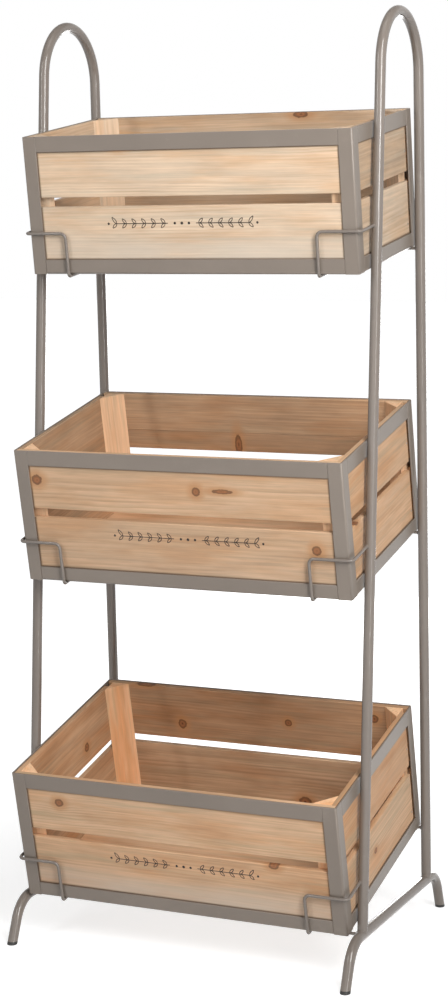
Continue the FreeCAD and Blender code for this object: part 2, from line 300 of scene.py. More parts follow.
def knotGroup():
    tree = bpy.data.node_groups.new("knot", "ShaderNodeTree")
    for label in ("Spot", "Middle", "Size"):
        tree.interface.new_socket(label, in_out="INPUT", socket_type="NodeSocketVector")
    tree.interface.new_socket("Distance", in_out="OUTPUT", socket_type="NodeSocketFloat")
    tree.interface.new_socket("Push", in_out="OUTPUT", socket_type="NodeSocketFloat")
    source, sink = node(tree, "NodeGroupInput"), node(tree, "NodeGroupOutput")
    offset = vectorMaths("SUBTRACT", source.outputs["Spot"], source.outputs["Middle"])
    scaled = vectorMaths("DIVIDE", offset, source.outputs["Size"])
    wobble = noise(source.outputs["Spot"], knotShape["wobbleScale"], 2.0)
    wobble = maths("MULTIPLY_ADD", wobble, knotShape["wobble"], -knotShape["wobble"] / 2)
    wide = vectorMaths("LENGTH", stretched(scaled, *knotShape["reach"]))  # grain bends well round it
    bell = maths("EXPONENT", product(product(wide, wide), -1.0))
    height = separated(offset)["Z"]
    feed(sink, {
        "Distance": total(vectorMaths("LENGTH", scaled), wobble),
        "Push": product(product(height, bell), knotShape["push"])})
    return tree


knotTree = knotGroup()


def openingShadowMask(tree, values, places, depth):  # 1 along the edge of the cage's opening, on the outside: the mask of a painted shadow there
    sideways = maths("ABSOLUTE", places["X"])
    fromMiddle = maths("ABSOLUTE", gap(places["Y"], depth / 2))
    onSide = between(sideways, *values["sideFace"])
    onEnd = between(fromMiddle, *(depth / 2 - reach for reach in values["endFace"]))
    opening = output(tree, "ShaderNodeMix", {
        0: onSide, 2: gap(values["opening"], sideways), 3: gap(depth / 2 - values["strip"], fromMiddle)})
    opening = maths("MINIMUM", opening, gap(values["underRail"], places["Z"]))
    opening = maths("MINIMUM", opening, gap(places["Z"], values["strip"]))
    return product(between(opening, values["seam"], 0.0), maths("MAXIMUM", onSide, onEnd))


def knotFields(tree, spot, knotList):  # distance to the nearest knot, and how far knots push the grain
    nearest, push = None, None
    for middle, size in knotList:
        links = {"Spot": spot, "Middle": [v * mm for v in middle], "Size": [v * mm for v in size]}
        distance, shift = node(tree, "ShaderNodeGroup", links, node_tree=knotTree).outputs
        nearest = distance if nearest is None else maths("SMOOTH_MIN", nearest, distance, knotShape["join"])
        push = shift if push is None else total(push, shift)
    return nearest, push


def knotColours(values, nearest, base):
    halo = product(between(nearest, 3.2, 0.9), values["haloShare"])
    base = mixColour(halo, base, values["knotHalo"])
    rim = product(between(nearest, 1.25, 1.0), values["rimShare"])
    base = mixColour(rim, base, values["knotRim"])
    eye = maths("FRACT", product(nearest, values["eyeRings"]))
    eye = maths("MAXIMUM", product(eye, values["eyeShare"]), between(nearest, 0.35, 0.05))
    core = mixColour(eye, values["knotCore"], values["knotRim"])
    return mixColour(between(nearest, 0.9, 0.62), base, core)


def pineMaterial(name, values, tones, knotList, depth):
    material, tree, shader = newMaterial(name)
    grain, spot, tone, boardWarmth = (
        node(tree, "ShaderNodeAttribute", attribute_name=label).outputs[socket] for label, socket in
        (("grain", "Vector"), ("spot", "Vector"), ("tone", "Fac"), ("warmth", "Fac")))
    across, through = separated(grain)[1:]

    def along(label):  # one of the noises drawn out along the grain
        long, wide, detail, rough = values[label]
        return noise(stretched(grain, long, wide, wide), 1.0, detail, rough)

    nearest, push = knotFields(tree, spot, knotList)
    sway = maths("MULTIPLY_ADD", along("sway"), values["ringWarp"] * 2, -values["ringWarp"])
    ripple = maths("MULTIPLY_ADD", along("rippleNoise"), values["ripple"] * 2, -values["ripple"])
    level = total(total(gap(across, push), sway), ripple)
    radius = maths("SQRT", total(product(level, level), product(through, through)))
    years = noise(combined(tree, radius), values["yearScale"], 2.0)
    radius = total(radius, product(years, values["yearShift"]))  # wide and narrow years
    phase = maths("FRACT", maths("DIVIDE", radius, values["ring"]))
    late = product(between(phase, 0.3, 0.9), between(phase, 1.0, 0.93))
    strength = maths("MULTIPLY_ADD", between(along("lateNoise"), 0.3, 0.72), *values["late"])
    late = product(late, strength)
    base = mixColour(late, tones["pale"], tones["dark"])
    warmth = product(between(along("warmNoise"), 0.4, 0.72), values["warmShare"])
    base = mixColour(total(warmth, boardWarmth), base, tones["warm"])
    grey = product(between(along("greyNoise"), 0.48, 0.7), values["greyShare"])
    base = mixColour(grey, base, tones["grey"])
    fibre = along("fibre")
    shade = total(product(fibre, values["fibreShade"]), product(along("streak"), values["streakShade"]))
    shade = total(shade, product(along("cloud"), values["cloudShade"]))
    # the board's tone, which holds painted light and shade, lightens or darkens the whole board
    shade = total(total(shade, values["leastShade"]), tone)
    base = output(tree, "ShaderNodeVectorMath", {0: base, 3: shade}, operation="SCALE")
    places = separated(spot)
    low = between(places["Z"], values["hazeTop"], values["hazeFade"])  # the lower edge has dried out pale
    front = between(places["Y"], *values["frontFace"])
    patchy = between(noise(stretched(spot, 5.0, 5.0, 30.0), 1.0, 3.0), 0.2, 0.6)
    haze = product(product(low, front), product(patchy, tones["haze"]))
    base = mixColour(haze, base, values["haze"])
    # painted shadow: the boards darken along the edge of the cage's opening, next to the metal strips
    seam = product(openingShadowMask(tree, values, places, depth), values["paintedShadowShare"])
    base = mixColour(seam, base, values["paintedShadowColour"])
    base = knotColours(values, nearest, base)
    rough = maths("MULTIPLY_ADD", fibre, values["fibreRoughness"],
                  values["roughness"] - values["fibreRoughness"] / 2)
    feed(shader, {"Base Color": base, "Roughness": rough})
    relief = total(product(late, values["lateRelief"]), product(fibre, values["fibreRelief"]))
    bump(shader, relief, values["relief"], values["reliefDepth"])
    return material


pineMaterials = {name: pineMaterial(name + "Pine", pine, pineTones[name], knots[name], tier["depth"] * mm)
                 for name, tier in tiers.items()}
print("materials made")


# Plain solids as lists of points and faces, so that several can share one mesh
def solidOf(work):
    bmesh.ops.recalc_face_normals(work, faces=work.faces)
    work.verts.index_update()
    points = [point.co.copy() for point in work.verts]
    faces = [[point.index for point in face.verts] for face in work.faces]
    work.free()
    return points, faces


def easedBox(low, high, ease, steps=2):
    work = bmesh.new()
    bmesh.ops.create_cube(work, size=1.0)
    size = Vector(high) - Vector(low)
    middle = (Vector(high) + Vector(low)) / 2
    for point in work.verts:
        point.co = Vector(point.co[i] * size[i] for i in range(3)) + middle
    bmesh.ops.bevel(work, geom=work.edges, offset=ease, segments=steps, affect="EDGES", profile=0.5)
    return solidOf(work)


def inset(outline, amount):  # an outline drawn in by an amount, corner by corner
    count = len(outline)
    corners = [Vector(corner) for corner in outline]
    drawn = []
    for i, corner in enumerate(corners):
        before = (corner - corners[i - 1]).normalized()
        after = (corners[(i + 1) % count] - corner).normalized()
        inward = Vector((-before.y - after.y, before.x + after.x)).normalized()
        reach = amount / max(inward.dot(Vector((-before.y, before.x))), 0.3)
        drawn.append(corner + inward * reach)
    return drawn


def prism(outline, length, ease):  # an outline in x and y drawn out along z, its ends eased
    small = inset(outline, ease)
    rings = [(small, 0.0), (outline, ease), (outline, length - ease), (small, length)]
    points = [Vector((corner[0], corner[1], z)) for ring, z in rings for corner in ring]
    count = len(outline)
    faces = [list(range(count))[::-1], [3 * count + i for i in range(count)]]
    for ring in range(3):
        for i in range(count):
            j = (i + 1) % count
            below, above = ring * count, (ring + 1) * count
            faces.append([below + i, below + j, above + j, above + i])
    return points, faces


def moved(solid, turn):
    return [turn @ point for point in solid[0]], solid[1]


def angleOutline(width, metal, bend, tip):  # rolled angle, its corner at 0, 0
    outline = []
    for x, y, radius, start, end, steps in (
            (bend, bend, bend, 180, 270, 7), (width - tip, tip, tip, -90, 0, 3),
            (width - tip, metal - tip, tip, 0, 90, 3), (bend, bend, bend - metal, 270, 180, 4),
            (metal - tip, width - tip, tip, 0, 90, 3), (tip, width - tip, tip, 90, 180, 3)):
        for i in range(steps + 1):
            turn = radians(start + (end - start) * i / steps)
            outline.append((x + radius * cos(turn), y + radius * sin(turn)))
    return outline


turns = (0, 90, 180, 270)


def turnedTo(turn, depth, places):  # places in half widths and whole depths, one for each turn
    x, y = places[turns.index(turn)]
    place = Matrix.Translation((x * halfWidth, y * depth, 0))
    return place @ Matrix.Rotation(radians(turn), 4, "Z")


def wallTurn(turn, depth):  # moves a piece made for the front wall to another wall
    return turnedTo(turn, depth, ((0, 0), (1, 0.5), (0, 1), (-1, 0.5)))


def cornerTurn(turn, depth):  # moves a piece made for the left front corner to another corner
    return turnedTo(turn, depth, ((-1, 0), (1, 0), (1, 1), (-1, 1)))


def newMesh(name, points, edges, faces, attributes):  # attributes are lists of numbers or of vectors
    mesh = bpy.data.meshes.new(name)
    mesh.from_pydata(points, edges, faces)
    for label, values in attributes.items():
        if isinstance(values[0], Vector):
            layer = mesh.attributes.new(label, "FLOAT_VECTOR", "POINT")
            layer.data.foreach_set("vector", [part for value in values for part in value])
        else:
            mesh.attributes.new(label, "FLOAT", "POINT").data.foreach_set("value", values)
    return mesh


smoothUnder = 1.2  # faces with a side shorter than this belong to a bend


def meshPiece(name, solids, place, material, attributes=None):
    # solids are (points, faces), placed in millimetres by one matrix
    points, faces = [], []
    for solidPoints, solidFaces in solids:
        start = len(points)
        points += [(place @ point) * mm for point in solidPoints]
        faces += [[index + start for index in face] for face in solidFaces]
    mesh = newMesh(name, points, [], faces, attributes or {})
    mesh.materials.append(material)
    for face in mesh.polygons:  # bends and eased edges are smooth, flats stay flat
        corners = [mesh.vertices[index].co for index in face.vertices]
        shortest = min((a - b).length for a, b in zip(corners, corners[1:] + corners[:1]))
        face.use_smooth = shortest < smoothUnder * mm
    piece = bpy.data.objects.new(name, mesh)
    scene.collection.objects.link(piece)
    return piece


def dress(piece, body, slot, *nodes):
    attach(piece, body)
    if nodes:
        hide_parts(*nodes)
    return piece


def camel(*words):
    joined = "_".join(words).split("_")
    return joined[0] + "".join(word.capitalize() for word in joined[1:])


# Geometry node trees
def grown(tree, kind, links=None, **settings):
    return output(tree, "GeometryNode" + kind, links, **settings)


def newTree(name, inputs):
    tree = bpy.data.node_groups.new(name, "GeometryNodeTree")
    tree.interface.new_socket("Geometry", in_out="INPUT", socket_type="NodeSocketGeometry")
    for label, value in inputs.items():
        kind = "NodeSocketInt" if isinstance(value, int) else "NodeSocketFloat"
        tree.interface.new_socket(label, in_out="INPUT", socket_type=kind).default_value = value
    tree.interface.new_socket("Material", in_out="INPUT", socket_type="NodeSocketMaterial")
    tree.interface.new_socket("Geometry", in_out="OUTPUT", socket_type="NodeSocketGeometry")
    return tree, node(tree, "NodeGroupInput").outputs


def named(tree, label, kind="FLOAT"):
    return grown(tree, "InputNamedAttribute", {"Name": label}, data_type=kind)


def joined(*parts):
    made = node(parts[0].id_data, "GeometryNodeJoinGeometry")
    for part in parts:
        feed(made, {0: part})
    return made.outputs[0]


def swept(curve, radius, sides, **options):  # a round section drawn along curves
    tree = curve.id_data
    ring = grown(tree, "CurvePrimitiveCircle", {"Resolution": sides, "Radius": radius})
    links = {"Curve": curve, "Profile Curve": ring, **options}
    return grown(tree, "CurveToMesh", links)


def cylinder(tree, sides, radius, depth):
    links = {"Vertices": sides, "Radius": radius, "Depth": depth}
    return grown(tree, "MeshCylinder", links)


def finishTree(geometry, source):
    tree = geometry.id_data
    realized = grown(tree, "RealizeInstances", {0: geometry})
    coated = grown(tree, "SetMaterial", {0: realized, "Material": source["Material"]})
    node(tree, "NodeGroupOutput", {0: coated})
    return tree


def grow(name, tree, mesh, values):  # runs a tree on a mesh and keeps the result as a plain mesh
    piece = bpy.data.objects.new(name, mesh)
    scene.collection.objects.link(piece)
    modifier = piece.modifiers.new("grow", "NODES")
    modifier.node_group = tree
    for item in tree.interface.items_tree:
        if item.in_out == "INPUT" and item.name in values:
            modifier[item.identifier] = values[item.name]
    graph = bpy.context.evaluated_depsgraph_get()
    result = bpy.data.meshes.new_from_object(piece.evaluated_get(graph), depsgraph=graph)
    piece.modifiers.clear()
    piece.data = result
    result.name = name
    result.set_sharp_from_angle(angle=radians(40))
    return piece


def barTree():  # a round bar along a line with rounded corners
    tree, source = newTree("roundBar", {"Radius": 0.005, "Sides": 32, "Bend Steps": 12})
    curve = grown(tree, "MeshToCurve", {0: source["Geometry"]})
    bend = named(tree, "bend")
    steps = product(maths("GREATER_THAN", bend, 0.0), source["Bend Steps"])
    links = {0: curve, "Count": steps, "Radius": bend}
    curve = grown(tree, "FilletCurve", links, mode="POLY")
    bar = swept(curve, source["Radius"], source["Sides"], **{"Fill Caps": True})
    smooth = grown(tree, "SetShadeSmooth", {0: bar})
    return finishTree(smooth, source)


def weldTree():  # a rippled bead along closed loops
    tree, source = newTree("weldBead", {"Bead": 0.0012, "Ripple": 0.3, "Ripple Scale": 600.0, "Seed": 3.0})
    curve = grown(tree, "MeshToCurve", {0: source["Geometry"]})
    position = grown(tree, "InputPosition")
    links = {"Vector": position, "W": source["Seed"], "Scale": source["Ripple Scale"]}
    grain = output(tree, "ShaderNodeTexNoise", links, noise_dimensions="4D")
    swell = product(gap(grain, 0.5), source["Ripple"])
    bead = swept(curve, source["Bead"], 8, Scale=maths("MULTIPLY_ADD", swell, 2.0, 1.0))
    smooth = grown(tree, "SetShadeSmooth", {0: bead})
    return finishTree(smooth, source)


def nailTree():  # a flat-headed nail at every point, driven along the point's own direction
    tree, source = newTree("nails", {"Head": 0.0026, "Shank": 0.0015, "Length": 0.022})
    head = cylinder(tree, 12, product(source["Head"], 0.5), 0.0003)
    shank = cylinder(tree, 8, product(source["Shank"], 0.5), source["Length"])
    drop = combined(tree, 0.0, 0.0, product(source["Length"], -0.5))
    shank = grown(tree, "Transform", {0: shank, "Translation": drop})
    outward = named(tree, "outward", "FLOAT_VECTOR")
    turn = output(tree, "FunctionNodeAlignRotationToVector", {"Vector": outward}, axis="Z")
    placed = grown(tree, "InstanceOnPoints", {
        "Points": source["Geometry"], "Instance": joined(head, shank), "Rotation": turn})
    return finishTree(placed, source)


def lineMesh(name, paths, closed=False):
    # paths are (points, bends): bends has one radius for each corner, 0 at the ends
    points, edges, bends = [], [], []
    for path, radii in paths:
        start = len(points)
        points += [point * mm for point in path]
        bends += [radius * mm for radius in radii]
        edges += [(start + i, start + i + 1) for i in range(len(path) - 1)]
        if closed:
            edges.append((start + len(path) - 1, start))
    return newMesh(name, points, edges, [], {"bend": bends})


roundBar, weldBead, nailSet = barTree(), weldTree(), nailTree()


def opened(piece):
    work = bmesh.new()
    work.from_mesh(piece.data)
    return work


def putBack(piece, work):
    bmesh.ops.recalc_face_normals(work, faces=work.faces)
    work.to_mesh(piece.data)
    work.free()


def sliceAt(piece, height, keepAbove):  # cuts a bar level and closes the cut
    work = opened(piece)
    everything = work.verts[:] + work.edges[:] + work.faces[:]
    cut = bmesh.ops.bisect_plane(work, geom=everything, dist=1e-6, plane_co=(0, 0, height * mm),
                                 plane_no=(0, 0, 1), clear_inner=keepAbove, clear_outer=not keepAbove)
    rim = [item for item in cut["geom_cut"] if isinstance(item, bmesh.types.BMEdge)]
    bmesh.ops.holes_fill(work, edges=rim, sides=0)
    putBack(piece, work)
    piece.data.set_sharp_from_angle(angle=radians(40))


def easeRims(piece, amount):  # rounds the sharp rims of a sliced bar
    work = opened(piece)
    rims = [edge for edge in work.edges if len(edge.link_faces) == 2
            and any(len(face.verts) > 8 for face in edge.link_faces)]
    bmesh.ops.bevel(work, geom=rims, offset=amount * mm, segments=2, affect="EDGES", profile=0.5)
    putBack(piece, work)


print("node trees made")


# Painted tube frames, foot bars, rods and hooks
bars = {"frameSides": 48, "archSteps": 40, "footSteps": 12, "rodSides": 24, "hookSteps": 7, "capEase": 0.5}
hooks = {
    "height": 51.0, "inset": 50.0, "sideGap": 3.0, "frontGap": 0.5, "bends": (6.0, 7.0, 4.0), "restGap": 0.3,
}


def bar(name, path, bends, radius, sides, steps, material):
    mesh = lineMesh(name, [(path, [0.0] + list(bends) + [0.0])])
    values = {"Radius": radius * mm, "Sides": sides, "Bend Steps": steps, "Material": material}
    return grow(name, roundBar, mesh, values)


def standPiece(piece, *nodes):
    dress(piece, "stand", "stand_paint", *nodes)


def rodPiece(name, ends, nodeName):
    standPiece(bar(name, ends, [], rodRadius, bars["rodSides"], 0, standPaint), nodeName)


def framePath(x):
    meeting = stand["legSpan"] / 2 / legSlope
    footY = legDistance(footRise)
    return [Vector((x, middleY - footY, footRise)), Vector((x, middleY, meeting)),
            Vector((x, middleY + footY, footRise))]


def footPath(x):
    near, far = (stand["footSpan"] / 2 + way * footSlope * footRise for way in (-1, 1))
    corners = (-far, -footRise), (-near, footRise), (near, footRise), (far, -footRise)
    return [Vector((x, middleY + y, z)) for y, z in corners]


def rodEnds(tier):
    h = -hooks["restGap"] - stand["rod"] / 2
    s = reachToLeg(tier, 1, h)
    return s, cratePoint(tier, -frameX, s, h), cratePoint(tier, frameX, s, h)


def hookPath(tier, side):
    outer = side * (halfWidth + hooks["sideGap"] + stand["wire"] / 2)
    inner = side * (halfWidth - hooks["inset"])
    front, under = -hooks["frontGap"] - stand["wire"] / 2, -hooks["restGap"] - stand["wire"] / 2
    tall = hooks["height"]
    corners = [(outer, reachToLeg(tier, -1, tall), tall), (outer, front, tall), (inner, front, tall),
               (inner, front, under), (inner, rodEnds(tier)[0], under)]
    return [cratePoint(tier, *corner) for corner in corners]


archBend = ((stand["legSpan"] / 2 / legSlope - stand["height"] + tubeRadius)
            / (1 / sin(radians(stand["legLean"])) - 1))
wireRadius, rodRadius = stand["wire"] / 2, stand["rod"] / 2
for sideName, side in sides.items():
    x = side * frameX
    frameBar = bar(sideName + "Frame", framePath(x), [archBend], tubeRadius, bars["frameSides"],
                   bars["archSteps"], standPaint)
    standPiece(frameBar, sideName + "_side_frame")
    foot = footPath(x), [stand["footBend"]] * 2, tubeRadius, bars["frameSides"], bars["footSteps"]
    footBar = bar(sideName + "FootBar", *foot, standPaint)
    sliceAt(footBar, stand["capThickness"], True)
    standPiece(footBar, sideName + "_foot_bar")
    capPiece = bar(sideName + "FootCaps", *foot, capPlastic)
    sliceAt(capPiece, 0.0, True)
    sliceAt(capPiece, stand["capThickness"], False)
    easeRims(capPiece, bars["capEase"])
    dress(capPiece, "stand", "cap_plastic", "foot_caps")
    for tierName, tier in tiers.items():
        hookBar = bar(camel(tierName, sideName, "hook"), hookPath(tier, side), hooks["bends"], wireRadius,
                      bars["rodSides"], bars["hookSteps"], standPaint)
        standPiece(hookBar, tierName + "_" + sideName + "_hook")
for tierName, tier in tiers.items():
    rodPiece(camel(tierName, "rearRod"), rodEnds(tier)[1:], tierName + "_rear_rod")
frontRodY = middleY - legDistance(footRise)
frontRodEnds = [Vector((side * frameX, frontRodY, footRise)) for side in sides.values()]
rodPiece("frontRod", frontRodEnds, "front_rod")
print("frames, foot bars, rods and hooks made")


# Weld beads where a bar meets another
welds = {
    "points": 40, "tubeBead": 1.25, "rodBead": 1.0, "wireBead": 0.8, "ripple": 0.22, "rippleScale": 420.0,
}


def meetingLoop(start, along, radius, middle, axis, otherRadius):
    # where the bar from start along a direction first meets a round bar on another axis
    along, axis = along.normalized(), axis.normalized()
    sideways = along.cross(axis).normalized()
    upright = sideways.cross(along)
    loop = []
    for i in range(welds["points"]):
        turn = 2 * pi * i / welds["points"]
        spoke = (sideways * cos(turn) + upright * sin(turn)) * radius
        offset = start + spoke - middle
        flatOffset = offset - axis * offset.dot(axis)
        flatAlong = along - axis * along.dot(axis)
        a, b = flatAlong.length_squared, flatOffset.dot(flatAlong)
        c = flatOffset.length_squared - otherRadius ** 2
        root = sqrt(max(b * b - a * c, 0.0))
        loop.append(start + spoke + along * ((-b - root) / a))
    # beads stay inside the stand's width
    widest = frameX + tubeRadius - welds["tubeBead"] * (1 + welds["ripple"])
    for point in loop:
        point.x = max(-widest, min(widest, point.x))
    return loop


def leg(side, end):
    foot = Vector((side * frameX, middleY + end * legDistance(0.0), 0.0))
    top = Vector((side * frameX, middleY + end * legDistance(stand["height"]), stand["height"]))
    return foot, top - foot


loops = {"tubeBead": [], "rodBead": [], "wireBead": []}
for side in sides.values():
    barAxis = Vector((side * frameX, middleY, footRise)), Vector((0, 1, 0))
    for end in (-1, 1):
        foot, upward = leg(side, end)
        above = foot + upward * 0.3
        loops["tubeBead"].append(meetingLoop(above, -upward, tubeRadius, *barAxis, tubeRadius))
    across = Vector((side, 0, 0))
    frontMiddle = (frontRodEnds[0] + frontRodEnds[1]) / 2
    loops["rodBead"].append(meetingLoop(frontMiddle, across, rodRadius, *barAxis, tubeRadius))
    for tier in tiers.values():
        rodLeft, rodRight = rodEnds(tier)[1:]
        rodMiddle = (rodLeft + rodRight) / 2
        loops["rodBead"].append(meetingLoop(rodMiddle, across, rodRadius, *leg(side, 1), tubeRadius))
        path = hookPath(tier, side)
        outer, inner = (path[1], path[0] - path[1], wireRadius), (path[3], path[4] - path[3], wireRadius)
        loops["wireBead"].append(meetingLoop(*outer, *leg(side, -1), tubeRadius))
        loops["wireBead"].append(meetingLoop(*inner, rodLeft, across, rodRadius))
for bead, rings in loops.items():
    name = "stand" + bead[0].upper() + bead[1:] + "s"
    mesh = lineMesh(name, [(ring, [0.0] * len(ring)) for ring in rings], True)
    values = {"Bead": welds[bead] * mm, "Ripple": welds["ripple"], "Ripple Scale": welds["rippleScale"],
              "Seed": 3.0, "Material": standPaint}
    standPiece(grow(mesh.name, weldBead, mesh, values))
print("welds made")


# Rolled-angle cages
cage = {"tip": 0.45, "endEase": 0.3, "railEase": 0.35, "joint": 0.25}
angleShape = angleOutline(crate["angle"], crate["metal"], crate["bend"], cage["tip"])
alongWall = Matrix(((0, 0, 1, 0), (1, 0, 0, 0), (0, 1, 0, 0), (0, 0, 0, 1)))  # lays an upright angle down


def wallLength(turn, depth):
    return crate["width"] if turn in (0, 180) else depth


for tierName, tier in tiers.items():
    depth = tier["depth"]
    metal = {"corner_posts": [], "top_rails": [], "bottom_rails": []}
    for turn in turns:
        post = prism(angleShape, crate["height"], cage["endEase"])
        metal["corner_posts"].append(moved(post, cornerTurn(turn, depth)))
        length = wallLength(turn, depth) - 2 * (crate["angle"] + cage["joint"])
        low = (-length / 2, 0.0, crate["height"] - crate["topRail"])
        flat = easedBox(low, (length / 2, crate["metal"], crate["height"]), cage["railEase"])
        metal["top_rails"].append(moved(flat, wallTurn(turn, depth)))
        lying = wallTurn(turn, depth) @ (Matrix.Translation((-length / 2, 0, 0)) @ alongWall)
        metal["bottom_rails"].append(moved(prism(angleShape, length, cage["endEase"]), lying))
    for part, solids in metal.items():
        name = tierName + part.replace("_", "").capitalize()
        piece = meshPiece(name, solids, tier["place"], cagePaint)
        dress(piece, tierName + "_crate", "cage_paint", tierName + "_" + part)
print("cages made")


# Pine boxes
timber = {
    "ease": 0.8, "blockEase": 0.7, "seed": 11, "pithAlong": (0, 3), "pithAcross": (0.07, 0.14),
    "pithThrough": (0.015, 0.05), "toneSpread": 0.03,
}
boardShadesWithLight = {
    # shade and warmth of single boards in the top, middle and bottom crate, the lower one first:
    # each board's own tone with painted light and shade added
    "front_lower_board": (((-0.04, 0.0),), ((-0.07, 0.15),), ((0.02, 0.35),)),
    "front_upper_board": (((-0.01, 0.1),), ((-0.02, 0.1),), ((0.0, 0.1),)),
    # painted shade: the rear boards, seen inside the crates, are darkened beyond their own tone
    "rear_lower_board": (((-0.25, 0.4),), ((-0.12, 0.3),), ((-0.22, -0.1),)),
    "rear_upper_board": (((-0.18, 0.45),), ((-0.18, 0.5), (-0.12, 0.25)), ((-0.26, 0.45),)),
    "right_wall_boards": (((-0.15, 0.1), (-0.3, 0.5)), ((0.02, 0.2), (0.02, 0.4)),
                          ((0.0, 0.2), (-0.02, 0.55))),
    "left_wall_boards": (((-0.06, 0.2), (-0.1, 0.3)), ((-0.16, 0.25), (-0.24, 0.35)),
                         ((-0.16, 0.3), (-0.15, 0.35))),
    # painted light: the corner blocks are lightened, more in the lower crates that get less light
    "corner_blocks": (((0.04, 0.25),) * 4, ((0.38, 0.3),) * 4, ((0.52, 0.35),) * 4),
    "floor_boards": (((0.0, 0.1),) * 9,) * 3,
}
chance = random.Random(timber["seed"])


def boardGrain(points, alongAxis, acrossAxis, throughAxis):
    # grain coordinates of one board, with its own place in its own tree
    shift = Vector((chance.uniform(*timber["pithAlong"]),
                    chance.uniform(*timber["pithAcross"]) * chance.choice((-1, 1)),
                    chance.uniform(*timber["pithThrough"])))
    order = (alongAxis, acrossAxis, throughAxis)
    return [Vector(point[axis] for axis in order) * mm + shift for point in points]


def pinePiece(nodeName, solids, tier, axes):
    # solids are (solid, matrix) pairs: the solid as made for the front wall, and its turn
    placed, grain, spot, tone, warmth = [], [], [], [], []
    name = tier["name"]
    shadesWithLight = boardShadesWithLight[nodeName][list(tiers).index(name)]
    for i, (solid, turn) in enumerate(solids):
        points, faces = solid
        grain += boardGrain(points, *axes)
        turned = [turn @ point for point in points]
        spot += [point * mm for point in turned]
        shade, warm = shadesWithLight[i]
        # each board's shade: its own tone with painted light and shade, and a random spread
        tone += [shade + chance.uniform(-1, 1) * timber["toneSpread"]] * len(points)
        warmth += [warm] * len(points)
        placed.append((turned, faces))
    attributes = {"grain": grain, "spot": spot, "tone": tone, "warmth": warmth}
    piece = meshPiece(camel(name, nodeName), placed, tier["place"], pineMaterials[name], attributes)
    return dress(piece, name + "_crate", "pine", name + "_" + nodeName)


def wallEnds(turn, depth, full, front, rear):  # side boards stop short of the rear posts
    half = wallLength(turn, depth) / 2
    start, end = {0: (full, full), 90: (front, rear), 180: (full, full), 270: (rear, front)}[turn]
    return start - half, half - end


def wallBoard(turn, depth, bottom, top):
    start, end = wallEnds(turn, depth, crate["boardInset"], wallInside, crate["angle"] + crate["sideGap"])
    solid = easedBox((start, crate["boardInset"], bottom), (end, wallInside, top), timber["ease"])
    return solid, wallTurn(turn, depth)


def cornerBlock(turn, depth):
    inner, far = wallInside, wallInside + crate["blockLeg"]
    outline = [(inner, inner), (far, inner), (inner, far)]
    solid = prism(outline, crate["boardTop"] - floorTop, timber["blockEase"])
    return moved(solid, Matrix.Translation((0, 0, floorTop))), cornerTurn(turn, depth)


for tier in tiers.values():
    depth = tier["depth"]
    low, high = (crate["metal"], crate["lowerTop"]), (crate["upperBottom"], crate["boardTop"])
    walls = {
        "front_lower_board": [(0, low)], "front_upper_board": [(0, high)],
        "rear_lower_board": [(180, low)], "rear_upper_board": [(180, high)],
        "right_wall_boards": [(90, low), (90, high)], "left_wall_boards": [(270, low), (270, high)],
    }
    if "rearSeam" in tier:  # this board is glued up from two laths
        seam = tier["rearSeam"]
        walls["rear_upper_board"] = [(180, (crate["upperBottom"], seam)), (180, (seam, crate["boardTop"]))]
    for nodeName, boards in walls.items():
        solids = [wallBoard(turn, depth, *span) for turn, span in boards]
        pinePiece(nodeName, solids, tier, (0, 2, 1))
    whole = depth - 2 * (wallInside + crate["floorPlay"])
    count = ceil((whole + crate["floorGap"]) / (crate["floorLimit"] + crate["floorGap"]))
    pitch = (whole + crate["floorGap"]) / count
    half = halfWidth - wallInside - crate["floorPlay"]
    floorSolids = []
    for i in range(count):
        start = wallInside + crate["floorPlay"] + i * pitch
        corners = (-half, start, crate["metal"]), (half, start + pitch - crate["floorGap"], floorTop)
        floorSolids.append((easedBox(*corners, timber["ease"]), Matrix.Identity(4)))
    pinePiece("floor_boards", floorSolids, tier, (0, 1, 2))
    blocks = [cornerBlock(turn, depth) for turn in turns]
    pinePiece("corner_blocks", blocks, tier, (2, 0, 1))
print("boards and blocks made")


# Nails through the boards into the corner blocks
nails = {"head": 2.4, "shank": 1.5, "length": 13.5, "offset": 12.0, "rearInset": 4.5, "proud": 0.15}
for tierName, tier in tiers.items():
    depth = tier["depth"]
    heads, directions = [], []
    middles = [(crate["metal"] + crate["lowerTop"]) / 2, (crate["upperBottom"] + crate["boardTop"]) / 2]
    covered = (crate["angle"] + wallInside) / 2
    rear = crate["angle"] + crate["sideGap"] + nails["rearInset"]
    for turn in turns:
        shift = nails["offset"] if turn in (0, 180) else -nails["offset"]
        toWorld = tier["place"] @ wallTurn(turn, depth)
        for x in wallEnds(turn, depth, covered, covered, rear):
            for middle in middles:
                place = Vector((x, crate["boardInset"] - nails["proud"], middle + shift))
                heads.append((toWorld @ place) * mm)
                directions.append(toWorld.to_3x3() @ Vector((0, -1, 0)))
    mesh = newMesh(camel(tierName, "nails"), heads, [], [], {"outward": directions})
    values = {label.capitalize(): nails[label] * mm for label in ("head", "shank", "length")}
    values["Material"] = nailSteel
    dress(grow(mesh.name, nailSet, mesh, values), tierName + "_crate", "nail_steel", tierName + "_nails")
print("nails made")


# Row of sprigs and dots printed on each lower front board
sprigs = {
    "line": 1.0, "depth": 0.2, "pairs": 6, "first": 22.3, "pitch": 12.95, "stem": (18.5, 87.0),
    "upper": (5.2, 5.8), "lower": (5.5, -5.4), "last": (5.9, 7.9), "leafWidth": 3.0,
    "dots": ((0.0, 1.8), (9.3, 1.6), (-9.3, 1.6), (98.0, 1.5), (-98.0, 1.5)),
    "ink": (0.022, 0.013, 0.009), "roughness": 0.62, "fadedInk": 3.2, "wear": 0.6, "wearRoughness": 0.2,
    "bulge": 0.42,
}
sprigPlaces = {"top": (-8.5, 61.9), "middle": (9.1, 64.4), "bottom": (7.5, 65.4)}


